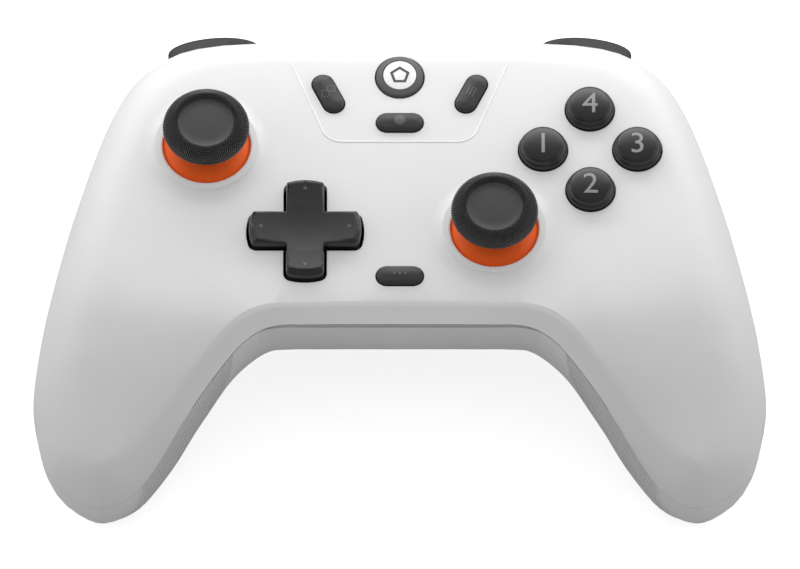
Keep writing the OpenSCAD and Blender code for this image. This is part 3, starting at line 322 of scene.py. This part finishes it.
def addRibs(material):
    nodes, links = material.node_tree.nodes, material.node_tree.links
    place = nodes.new("ShaderNodeTexCoord")
    split = nodes.new("ShaderNodeSeparateXYZ")
    links.new(place.outputs["Object"], split.inputs[0])
    facing = nodes.new("ShaderNodeSeparateXYZ")
    links.new(place.outputs["Normal"], facing.inputs[0])

    def calc(operation, a, b):
        node = nodes.new("ShaderNodeMath")
        node.operation = operation
        for socket, value in zip(node.inputs, (a, b)):
            if isinstance(value, (int, float)):
                socket.default_value = value
            else:
                links.new(value, socket)
        return node.outputs[0]

    def fade(value, low, high):
        node = nodes.new("ShaderNodeMapRange")
        node.interpolation_type = "SMOOTHSTEP"
        node.inputs["From Min"].default_value = low
        node.inputs["From Max"].default_value = high
        links.new(value, node.inputs["Value"])
        return node.outputs["Result"]

    # distance across the ribs, the same on both grips
    alongX = calc("MULTIPLY", calc("ABSOLUTE", split.outputs["X"], 0.0), ribs["across"][0])
    alongY = calc("MULTIPLY", split.outputs["Y"], ribs["across"][1])
    alongZ = calc("MULTIPLY", split.outputs["Z"], ribs["across"][2])
    run = calc("ADD", calc("ADD", alongX, alongY), alongZ)
    wave = calc("SINE", calc("MULTIPLY", run, 2 * math.pi / ribs["pitch"]), 0.0)
    # the zone ends at two heights on the grip and where the wall turns away
    inward = calc("MULTIPLY", calc("SIGN", split.outputs["X"], 0.0), facing.outputs["X"])
    lowEnd = fade(split.outputs["Y"], ribs["low"] - ribs["lowEdge"], ribs["low"] + ribs["lowEdge"])
    topEnd = fade(split.outputs["Y"], ribs["top"], ribs["top"] - ribs["topEdge"])
    zone = calc("MULTIPLY", calc("MULTIPLY", lowEnd, topEnd), fade(inward, *ribs["inward"]))
    ribBump = nodes.new("ShaderNodeBump")
    ribBump.inputs["Strength"].default_value = ribs["strength"]
    ribBump.inputs["Distance"].default_value = ribs["depth"]
    links.new(calc("MULTIPLY", wave, zone), ribBump.inputs["Height"])
    shader = nodes["Principled BSDF"]
    grainBump = shader.inputs["Normal"].links[0].from_node
    links.new(grainBump.outputs["Normal"], ribBump.inputs["Normal"])
    links.new(ribBump.outputs["Normal"], shader.inputs["Normal"])
    # painted shade: the ribs' valleys are painted a little darker, standing in for the shade that falls in
    # them
    tone = shader.inputs["Base Color"].links[0].from_node
    shade = nodes.new("ShaderNodeMix")
    shade.data_type = "RGBA"
    shade.blend_type = "MULTIPLY"
    shade.inputs[mixSecond].default_value = (*ribs["valleyShade"], 1.0)
    links.new(calc("MULTIPLY", zone, fade(wave, *ribs["valleyShadeWave"])), shade.inputs[0])
    links.new(tone.outputs[mixResult], shade.inputs[mixFirst])
    links.new(shade.outputs[mixResult], shader.inputs["Base Color"])


looks["ribbedWhite"] = grainMaterial("ribbedWhite", finishes["shellWhite"])
addRibs(looks["ribbedWhite"])

# painted highlight: the points of the knurl are painted lighter than its valleys, standing in for glints of
# light on them
knurlTipGlint = {"colour": grey(0.16), "from": 0.35, "to": 0.95}


def addKnurlTipGlints(material):
    nodes, links = material.node_tree.nodes, material.node_tree.links
    shader = nodes["Principled BSDF"]
    tip = nodes.new("ShaderNodeAttribute")
    tip.attribute_name = "tip"
    level = nodes.new("ShaderNodeMapRange")
    level.inputs["From Min"].default_value = knurlTipGlint["from"]
    level.inputs["From Max"].default_value = knurlTipGlint["to"]
    shade = nodes.new("ShaderNodeMix")
    shade.data_type = "RGBA"
    shade.inputs[mixSecond].default_value = (*knurlTipGlint["colour"], 1.0)
    links.new(tip.outputs["Fac"], level.inputs["Value"])
    links.new(level.outputs["Result"], shade.inputs[0])
    links.new(shader.inputs["Base Color"].links[0].from_socket, shade.inputs[mixFirst])
    links.new(shade.outputs[mixResult], shader.inputs["Base Color"])


addKnurlTipGlints(looks["capRubber"])

# glossy flanks and a matte top for the direction pad, by how far a face looks up
flanks = {"steep": 0.75, "level": 0.93, "flankRough": 0.14, "topRough": 0.42}


def addGlossFlanks(material):
    nodes, links = material.node_tree.nodes, material.node_tree.links
    place = nodes.new("ShaderNodeTexCoord")
    facing = nodes.new("ShaderNodeSeparateXYZ")
    level = nodes.new("ShaderNodeMapRange")
    level.inputs["From Min"].default_value = flanks["steep"]
    level.inputs["From Max"].default_value = flanks["level"]
    level.inputs["To Min"].default_value = flanks["flankRough"]
    level.inputs["To Max"].default_value = flanks["topRough"]
    links.new(place.outputs["Normal"], facing.inputs[0])
    links.new(facing.outputs["Z"], level.inputs["Value"])
    links.new(level.outputs["Result"], nodes["Principled BSDF"].inputs["Roughness"])


looks["crossBlack"] = grainMaterial("crossBlack", finishes["buttonBlack"])
addGlossFlanks(looks["crossBlack"])

# shells: the back one is stepped in just under the seam, across the notch
rebate = {
    "low": 40.75 * mm, "deep": 0.45 * mm, "half": 34.0 * mm, "behind": -31.0 * mm,
    "outward": -0.45, "steep": 0.7,
}


def cutRebate(shell):
    editAll(shell, "FACE")
    bpy.ops.mesh.bisect(plane_co=(0.0, 0.0, rebate["low"]), plane_no=(0.0, 0.0, 1.0))
    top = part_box("back_shell")[1].z

    def onWall(face):
        outward = face.normal.y < rebate["outward"] and abs(face.normal.z) < rebate["steep"]
        inNotch = abs(face.center.x) < rebate["half"] and face.center.y > rebate["behind"]
        return outward and inNotch and rebate["low"] < face.center.z < top - near

    pickFaces(shell, onWall)
    bpy.ops.mesh.extrude_region_move(TRANSFORM_OT_translate={"value": (0.0, rebate["deep"], 0.0)})
    bpy.ops.object.mode_set(mode="OBJECT")


# the creases along the notch are soft, and the rims of holes and the seam at the grip ends are crisp
crease = {"soft": 52.0, "crisp": 28.0, "from": -17.0 * mm, "to": -36.0 * mm, "weight": 80}


def smoothShell(shell):
    smoothBy(shell, crease["soft"])
    editAll(shell, "EDGE")
    bpy.ops.mesh.select_all(action="DESELECT")
    bpy.ops.mesh.edges_select_sharp(sharpness=math.radians(crease["crisp"]))
    bpy.ops.object.mode_set(mode="OBJECT")
    points = shell.data.vertices
    for edge in shell.data.edges:
        if any(crease["to"] < points[i].co.y < crease["from"] for i in edge.vertices):
            edge.select = False
    bpy.ops.object.mode_set(mode="EDIT")
    bpy.ops.mesh.mark_sharp()
    bpy.ops.object.mode_set(mode="OBJECT")
    applyModifier(shell, "WEIGHTED_NORMAL", keep_sharp=True, weight=crease["weight"])


for node, look in (("front_shell", "shellWhite"), ("back_shell", "ribbedWhite")):
    shell = copyNode(node, node + "_skin")
    if node == "back_shell":
        cutRebate(shell)
    smoothShell(shell)
    dress(shell, "housing", "shell_white", looks[look], stands=[node])
print("shells dressed")

collarRise = 1.5 * mm  # the collars stand this far above the face
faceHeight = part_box("front_shell")[1].z - collarRise

# white line inlaid round the middle buttons
panel = {
    "low": 20.1 * mm, "high": 39.5 * mm, "half": 15.35 * mm, "lean": 21.4, "round": 4.5 * mm,
    "arcSteps": 10, "bead": 0.21 * mm, "beadSteps": 3, "sunk": 0.03 * mm, "smooth": 40,
}


def addPanelLine():
    turn = math.radians(90.0 - panel["lean"])
    reach = panel["round"] * math.tan(turn / 2)
    corner = Vector((panel["half"] - reach, panel["low"] + panel["round"]))
    points = []
    for i in range(panel["arcSteps"] + 1):
        a = turn * i / panel["arcSteps"]
        points.append((corner.x + panel["round"] * math.sin(a), corner.y - panel["round"] * math.cos(a)))
    x, y = points[-1]
    points.append((x + (panel["high"] - y) * math.tan(math.radians(panel["lean"])), panel["high"]))
    route = [(-px, py) for px, py in reversed(points)] + points
    deselectAll()
    bpy.ops.curve.primitive_bezier_curve_add()
    curve = bpy.context.object
    curve.name = "panel_line"
    curve.data.splines.clear()
    spline = curve.data.splines.new("POLY")
    spline.points.add(len(route) - 1)
    for point, (px, py) in zip(spline.points, route):
        point.co = (px, py, faceHeight - panel["sunk"], 1.0)
    curve.data.bevel_depth = panel["bead"]
    curve.data.bevel_resolution = panel["beadSteps"]
    curve.data.use_fill_caps = True
    makeActive(curve)
    bpy.ops.object.convert(target="MESH")
    line = bpy.context.object
    smoothBy(line, panel["smooth"])
    dress(line, "housing", "inlay_white", looks["lineWhite"])


addPanelLine()
print("panel line laid")

# thumbsticks: a satin dome and a knurled rubber cap
# rings of the cap are radius and height from its top in mm, with no height at the solid's own foot
cap = {
    "sides": 92, "knurl": 0.22 * mm, "smooth": 20, "domeSmooth": 35,
    "foot": [(2.65, -3.2), (2.65, None), (3.4, None), (3.4, -4.5)],
    "band": [(8.1, -3.8), (8.75, -3.4), (9.05, -2.9), (9.05, -2.2), (8.75, -1.55), (8.25, -1.0),
             (7.7, -0.55), (7.1, -0.2), (6.7, -0.1), (6.25, -0.22), (5.8, -0.6)],
    "disc": [(5.5, -0.7), (4.0, -0.68), (2.0, -0.63), (0.0, -0.6)],
}


def addCap(side):
    node = side + "_stick_cap"
    low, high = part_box(node)
    centre, top = middle(node), high.z
    foot = [(r * mm, low.z if z is None else top + z * mm) for r, z in cap["foot"]]
    band = [(r * mm, top + z * mm) for r, z in cap["band"]]
    disc = [(r * mm, top + z * mm) for r, z in cap["disc"]]
    obj = revolve(side + "_knurled_cap", centre, cap["sides"], foot + band + disc)
    lowBand, lastRing = band[0][1], band[-1][0]

    def onBand(point):
        return offAxis(point, centre) > lastRing - near and point.z > lowBand - near

    def faceOnBand(face):
        return all(onBand(obj.data.vertices[i].co) for i in face.vertices)

    # diamonds: poke each face, take out the old edges, then raise a point on each diamond
    pickFaces(obj, faceOnBand)
    firstPoke = len(obj.data.vertices)
    bpy.ops.mesh.poke(offset=0.0)
    bpy.ops.object.mode_set(mode="OBJECT")

    def oldEdge(edge):
        ends = [obj.data.vertices[i].co for i in edge.vertices]
        inBand = all(onBand(end) for end in ends) and max(edge.vertices) < firstPoke
        onFoot = all(abs(end.z - lowBand) < near for end in ends)
        onRim = all(abs(offAxis(end, centre) - lastRing) < near for end in ends)
        return inBand and not onFoot and not onRim

    pickEdges(obj, oldEdge)
    bpy.ops.mesh.dissolve_edges(use_verts=False)
    pickFaces(obj, lambda face: len(face.vertices) == 4 and faceOnBand(face))
    firstTip = len(obj.data.vertices)
    bpy.ops.mesh.poke(offset=cap["knurl"])
    bpy.ops.object.mode_set(mode="OBJECT")
    tip = obj.data.attributes.new("tip", "FLOAT", "POINT")
    for i, value in enumerate(tip.data):
        value.value = 1.0 if i >= firstTip else 0.0
    smoothBy(obj, cap["smooth"])
    dress(obj, side + "_stick", "cap_rubber", looks["capRubber"], looks["capDisc"], stands=[node])
    for face in obj.data.polygons:
        if offAxis(face.center, centre) < lastRing and face.center.z > lowBand:
            face.material_index = 1


for side in ("left", "right"):
    addCap(side)
    dome = copyNode(side + "_stick_dome", side + "_satin_dome")
    smoothBy(dome, cap["domeSmooth"])
    dress(dome, side + "_stick", "dome_orange", looks["domeOrange"], stands=[side + "_stick_dome"])
print("thumbsticks made")

# face buttons: a plunger, a flange, a flared skirt, a steep side and a shallow dome
# rings are radius and height in mm, and the last one is the top
faceButton = {
    "sides": 72, "smooth": 40, "legend": 7.0 * mm, "legendSteps": 6, "legendAbove": 5.0 * mm,
    "rings": [(2.4, -11.6), (2.4, -3.7), (6.4, -3.7), (6.4, -2.5), (5.1, -2.5), (5.1, 0.9), (5.07, 1.06),
              (4.97, 1.2), (4.82, 1.32), (4.66, 1.5), (4.6, 1.75), (4.58, 1.95), (4.5, 2.24), (4.3, 2.52),
              (4.05, 2.68), (3.7, 2.79), (3.0, 2.95), (2.2, 3.08), (1.2, 3.17), (0.5, 3.195), (0.0, 3.2)],
}
ink = {"thick": 0.08 * mm, "lift": 0.02 * mm, "cuts": 3}


def layOn(flat, base):
    # drop a flat mesh onto the surface under it and give it the thickness of ink
    editAll(flat, "FACE")
    bpy.ops.mesh.quads_convert_to_tris()
    bpy.ops.mesh.subdivide(number_cuts=ink["cuts"])
    bpy.ops.object.mode_set(mode="OBJECT")
    applyModifier(flat, "SHRINKWRAP", target=base, wrap_method="PROJECT", use_project_z=True,
                  use_positive_direction=False, use_negative_direction=True, offset=ink["lift"])
    applyModifier(flat, "SOLIDIFY", thickness=ink["thick"], offset=0.0)
    closeNormals(flat)


def addLegend(name, body, centre, text, base):
    deselectAll()
    bpy.ops.object.text_add(location=(0.0, 0.0, 0.0))
    label = bpy.context.object
    label.name = name
    label.data.body = text
    label.data.size = faceButton["legend"]
    label.data.resolution_u = faceButton["legendSteps"]
    bpy.ops.object.convert(target="MESH")
    label = bpy.context.object
    low = Vector([min(v.co[i] for v in label.data.vertices) for i in range(3)])
    high = Vector([max(v.co[i] for v in label.data.vertices) for i in range(3)])
    above = Vector((centre.x, centre.y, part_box("front_shell")[1].z + faceButton["legendAbove"]))
    editAll(label)
    bpy.ops.transform.translate(value=above - (low + high) / 2)
    bpy.ops.object.mode_set(mode="OBJECT")
    layOn(label, base)
    dress(label, body, "button_black", looks["legendGrey"])


for place, mark in (("left", "1"), ("lower", "2"), ("right", "3"), ("upper", "4")):
    node = place + "_face_button"
    centre = middle(node)
    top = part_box(node)[1].z
    peak = faceButton["rings"][-1][1]
    rings = [(r * mm, top + (z - peak) * mm) for r, z in faceButton["rings"]]
    button = revolve(place + "_domed_button", centre, faceButton["sides"], rings)
    smoothBy(button, faceButton["smooth"])
    dress(button, place + "_face", "button_black", looks["buttonBlack"], stands=[node])
    addLegend(place + "_legend", place + "_face", centre, mark, button)
print("face buttons made")

# small buttons keep their solids' shape, and the home button's inlay gets a fine bevel
small = {
    "smooth": 35, "bevel": 0.08 * mm, "bevelSteps": 2, "bevelOver": 50,
    "pills": ("view", "menu", "share", "mode"),
}
keys = {}
for name in (*small["pills"], "home"):
    pill = name in small["pills"]
    piece = copyNode(name + "_button", name + "_key")
    smoothBy(piece, small["smooth"])
    dress(piece, name, "pill_black" if pill else "home_grey", looks["pillBlack" if pill else "homeGrey"],
          stands=[name + "_button"])
    keys[name] = piece
inlay = copyNode("home_inlay", "home_disc")
applyModifier(inlay, "BEVEL", width=small["bevel"], segments=small["bevelSteps"], limit_method="ANGLE",
              angle_limit=math.radians(small["bevelOver"]))
smoothBy(inlay, small["smooth"])
dress(inlay, "home", "inlay_white", looks["inlayWhite"], stands=["home_inlay"])
keys["inlay"] = inlay

# printed marks: flat shapes on the small buttons and the direction pad, all generic
marks = {
    "line": 0.24 * mm, "square": 1.75 * mm, "step": 0.6 * mm, "corner": 0.1 * mm, "cornerSteps": 4,
    "cornerShare": 2.2, "bar": 2.5 * mm, "gap": 0.72 * mm, "lean": -25.0, "dot": 1.2 * mm,
    "dotSides": 28, "dotInset": 3, "smallDot": 0.32 * mm, "dotStep": 1.15 * mm, "house": 2.2 * mm,
    "houseSides": 5, "houseLine": 0.55 * mm, "arrow": 0.6 * mm, "arrowSides": 3, "arrowOut": 2.6 * mm,
    "above": 8.0 * mm,
}


def addBar(name, centre, dx, dy, across, along, turn=0.0, hollow=0.0):
    deselectAll()
    bpy.ops.mesh.primitive_plane_add(
        size=1.0, location=(centre.x + dx, centre.y + dy, centre.z + marks["above"]))
    bar = bpy.context.object
    bar.name = name
    bar.scale = (across, along, 1.0)
    bar.rotation_euler = (0.0, 0.0, turn)
    settle(bar)
    editAll(bar)
    rounding = min(marks["corner"], across / marks["cornerShare"], along / marks["cornerShare"])
    bpy.ops.mesh.bevel(offset=rounding, segments=marks["cornerSteps"], affect="VERTICES")
    if hollow:
        bpy.ops.mesh.select_mode(type="FACE")
        bpy.ops.mesh.inset(thickness=hollow)
        bpy.ops.mesh.delete(type="FACE")
    bpy.ops.object.mode_set(mode="OBJECT")
    return bar


def addDot(name, centre, dx, dy, radius, sides=marks["dotSides"], turn=0.0, hollow=0.0):
    deselectAll()
    bpy.ops.mesh.primitive_circle_add(
        vertices=sides, radius=radius, fill_type="NGON", rotation=(0.0, 0.0, turn),
        location=(centre.x + dx, centre.y + dy, centre.z + marks["above"]))
    dot = bpy.context.object
    dot.name = name
    settle(dot)
    editAll(dot, "FACE")
    bpy.ops.mesh.inset(thickness=hollow or radius / marks["dotInset"])
    if hollow:
        bpy.ops.mesh.delete(type="FACE")
    bpy.ops.object.mode_set(mode="OBJECT")
    return dot


def joinPrint(shapes, name, body, slot, base, look):
    makeActive(shapes[0])
    for shape in shapes:
        shape.select_set(True)
    if len(shapes) > 1:
        bpy.ops.object.join()
    flat = bpy.context.object
    flat.name = name
    layOn(flat, base)
    dress(flat, body, slot, looks[look])


def addMarks():
    at = {name: middle("home_inlay" if name == "inlay" else name + "_button") for name in keys}
    step, side, line = marks["step"], marks["square"], marks["line"]
    squares = [addBar("square", at["view"], sign * step, sign * step, side, side, hollow=line)
               for sign in (-1, 1)]
    joinPrint(squares, "view_mark", "view", "pill_black", keys["view"], "legendDim")
    lean = math.radians(marks["lean"])
    dx, dy = marks["gap"] * math.cos(lean), marks["gap"] * math.sin(lean)
    bars = [addBar("bar", at["menu"], i * dx, i * dy, line, marks["bar"], lean) for i in (-1, 0, 1)]
    joinPrint(bars, "menu_mark", "menu", "pill_black", keys["menu"], "legendDim")
    spot = addDot("dot", at["share"], 0.0, 0.0, marks["dot"])
    joinPrint([spot], "share_mark", "share", "pill_black", keys["share"], "legendDim")
    dots = [addDot("dot", at["mode"], i * marks["dotStep"], 0.0, marks["smallDot"]) for i in (-1, 0, 1)]
    joinPrint(dots, "mode_mark", "mode", "pill_black", keys["mode"], "legendDim")
    house = addDot("house", at["inlay"], 0.0, 0.0, marks["house"], sides=marks["houseSides"],
                   hollow=marks["houseLine"])
    joinPrint([house], "home_mark", "home", "home_grey", keys["inlay"], "markGrey")


addMarks()
print("small buttons dressed")

# direction pad: its solid, dished in the middle and softened at its edges, with small arrows near the ends
crossPad = {
    "ball": 40.0 * mm, "ballSides": 128, "ballRings": 96, "dish": 0.5 * mm, "core": 6.6 * mm,
    "voxel": 0.16 * mm, "soften": 0.5, "passes": 6, "keep": 0.35, "smooth": 60,
}


def dishTop(obj, node):
    deselectAll()
    centre = middle(node)
    top = max(v.co.z for v in obj.data.vertices if offAxis(v.co, centre) < crossPad["core"])
    bpy.ops.mesh.primitive_uv_sphere_add(
        segments=crossPad["ballSides"], ring_count=crossPad["ballRings"], radius=crossPad["ball"],
        location=(centre.x, centre.y, top - crossPad["dish"] + crossPad["ball"]))
    ball = bpy.context.object
    settle(ball)
    applyModifier(obj, "BOOLEAN", operation="DIFFERENCE", solver="EXACT", object=ball)
    makeActive(ball)
    bpy.ops.object.delete()


cross = copyNode("dpad", "soft_cross")
dishTop(cross, "dpad")
applyModifier(cross, "REMESH", mode="VOXEL", voxel_size=crossPad["voxel"])
applyModifier(cross, "SMOOTH", factor=crossPad["soften"], iterations=crossPad["passes"])
applyModifier(cross, "DECIMATE", ratio=crossPad["keep"])
smoothBy(cross, crossPad["smooth"])
dress(cross, "dpad_cross", "button_black", looks["crossBlack"], stands=["dpad"])
crossAt = middle("dpad")
reach = (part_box("dpad")[1].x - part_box("dpad")[0].x) / 2 - marks["arrowOut"]
for i in range(4):
    turn = i * math.pi / 2
    arrow = addDot("arrow", crossAt, reach * -math.sin(turn), reach * math.cos(turn), marks["arrow"],
                   sides=marks["arrowSides"], turn=turn)
    joinPrint([arrow], "cross_arrow_%d" % (i + 1), "dpad_cross", "button_black", cross, "legendDim")
print("direction pad made:", len(cross.data.polygons))

# bumpers and triggers keep their solids' shape
lever = {"smooth": 32}
for side in ("left", "right"):
    for kind in ("bumper", "trigger"):
        piece = copyNode(side + "_" + kind, side + "_" + kind + "_skin")
        smoothBy(piece, lever["smooth"])
        dress(piece, side + "_" + kind, "bumper_grey", looks["bumperGrey"], stands=[side + "_" + kind])
print("bumpers and triggers dressed")

# pieces inside the shells keep their solids
inside = {
    "boardGreen": ["main_board"],
    "foilWrap": ["battery_pack"],
    "silicone": ["face_contact_pad", "dpad_contact_pad"],
    "screwBlack": ["case_screws", "board_screws"],
    "steel": ["charging_socket", "left_stick_yoke", "right_stick_yoke", "dpad_yoke", "bumper_pins",
              "trigger_pins", "left_trigger_spring", "right_trigger_spring", "left_motor", "right_motor",
              "left_motor_weight", "right_motor_weight"],
    "innerPlastic": ["left_stick_base", "left_stick_cradle", "right_stick_base", "right_stick_cradle",
                     "dpad_bracket", "bumper_brackets", "trigger_brackets", "push_switches",
                     "bumper_switches"],
}
for look, nodes in inside.items():
    for node in nodes:
        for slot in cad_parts[node].material_slots:
            slot.material = looks[look]
print("inner pieces dressed")

# studio: a white floor, even fill, softboxes overhead, behind and at the sides, and a strip at the top edge
# the overhead one is left out of reflections, and the one behind shows only in them
studio = {
    "floor": 3.0, "paper": grey(0.62), "paperRough": 0.9, "glow": 0.75,
    "sky": grey(1.0), "fill": 0.42, "backdrop": 1.0,
}
lamps = {
    "overhead": {"at": (0.0, 0.10, 0.54), "aim": (0.0, 0.0, 0.04), "size": (0.7, 0.6), "power": 0.98,
                 "lights": "diffuse"},
    "back": {"at": (0.0, 0.5, 0.42), "aim": (0.0, 0.0, 0.04), "size": (0.8, 0.32), "power": 1.5,
             "lights": "glossy"},
    "leftSide": {"at": (-0.45, 0.02, 0.18), "aim": (0.0, 0.0, 0.04), "size": (0.3, 0.3), "power": 0.25},
    "rightSide": {"at": (0.45, 0.02, 0.18), "aim": (0.0, 0.0, 0.04), "size": (0.3, 0.3), "power": 0.25},
    "strip": {"at": (0.0, 0.12, 0.10), "aim": (0.0, 0.0, 0.046), "size": (0.5, 0.04), "power": 0.21},
}


def addFloor():
    deselectAll()
    bpy.ops.mesh.primitive_plane_add(size=studio["floor"], location=(0.0, 0.0, 0.0))
    floor = bpy.context.object
    floor.name = "floor"
    paper = bpy.data.materials.new("paperWhite")
    paper.use_nodes = True
    nodes, links = paper.node_tree.nodes, paper.node_tree.links
    matte = nodes["Principled BSDF"]
    matte.inputs["Base Color"].default_value = (*studio["paper"], 1.0)
    matte.inputs["Roughness"].default_value = studio["paperRough"]
    glow = nodes.new("ShaderNodeEmission")
    path = nodes.new("ShaderNodeLightPath")
    seen = nodes.new("ShaderNodeMath")
    seen.operation = "MAXIMUM"
    links.new(path.outputs["Is Camera Ray"], seen.inputs[0])
    links.new(path.outputs["Is Transmission Ray"], seen.inputs[1])
    level = nodes.new("ShaderNodeMath")
    level.operation = "MULTIPLY"
    level.inputs[1].default_value = studio["glow"]
    links.new(seen.outputs[0], level.inputs[0])
    links.new(level.outputs[0], glow.inputs["Strength"])
    both = nodes.new("ShaderNodeAddShader")
    links.new(matte.outputs[0], both.inputs[0])
    links.new(glow.outputs[0], both.inputs[1])
    links.new(both.outputs[0], nodes["Material Output"].inputs["Surface"])
    floor.data.materials.append(paper)


def addFill():
    world = bpy.data.worlds.new("studioFill")
    scene.world = world
    world.use_nodes = True
    nodes, links = world.node_tree.nodes, world.node_tree.links
    sky = nodes["Background"]
    path = nodes.new("ShaderNodeLightPath")
    fillLevel = nodes.new("ShaderNodeMapRange")
    fillLevel.inputs["To Min"].default_value = studio["fill"]
    fillLevel.inputs["To Max"].default_value = studio["backdrop"]
    links.new(path.outputs["Is Camera Ray"], fillLevel.inputs["Value"])
    links.new(fillLevel.outputs["Result"], sky.inputs["Strength"])
    sky.inputs["Color"].default_value = (*studio["sky"], 1.0)


def addLamps():
    for name, lamp in lamps.items():
        bpy.ops.object.light_add(type="AREA", location=lamp["at"])
        light = bpy.context.object
        light.name = name
        light.data.shape = "RECTANGLE"
        light.data.size, light.data.size_y = lamp["size"]
        light.data.energy = lamp["power"]
        ray = Vector(lamp["aim"]) - Vector(lamp["at"])
        light.rotation_euler = ray.to_track_quat("-Z", "Y").to_euler()
        light.visible_camera = False
        light.visible_diffuse = lamp.get("lights") != "glossy"
        light.visible_glossy = lamp.get("lights") != "diffuse"


addFloor()
addFill()
addLamps()
print("studio lit")
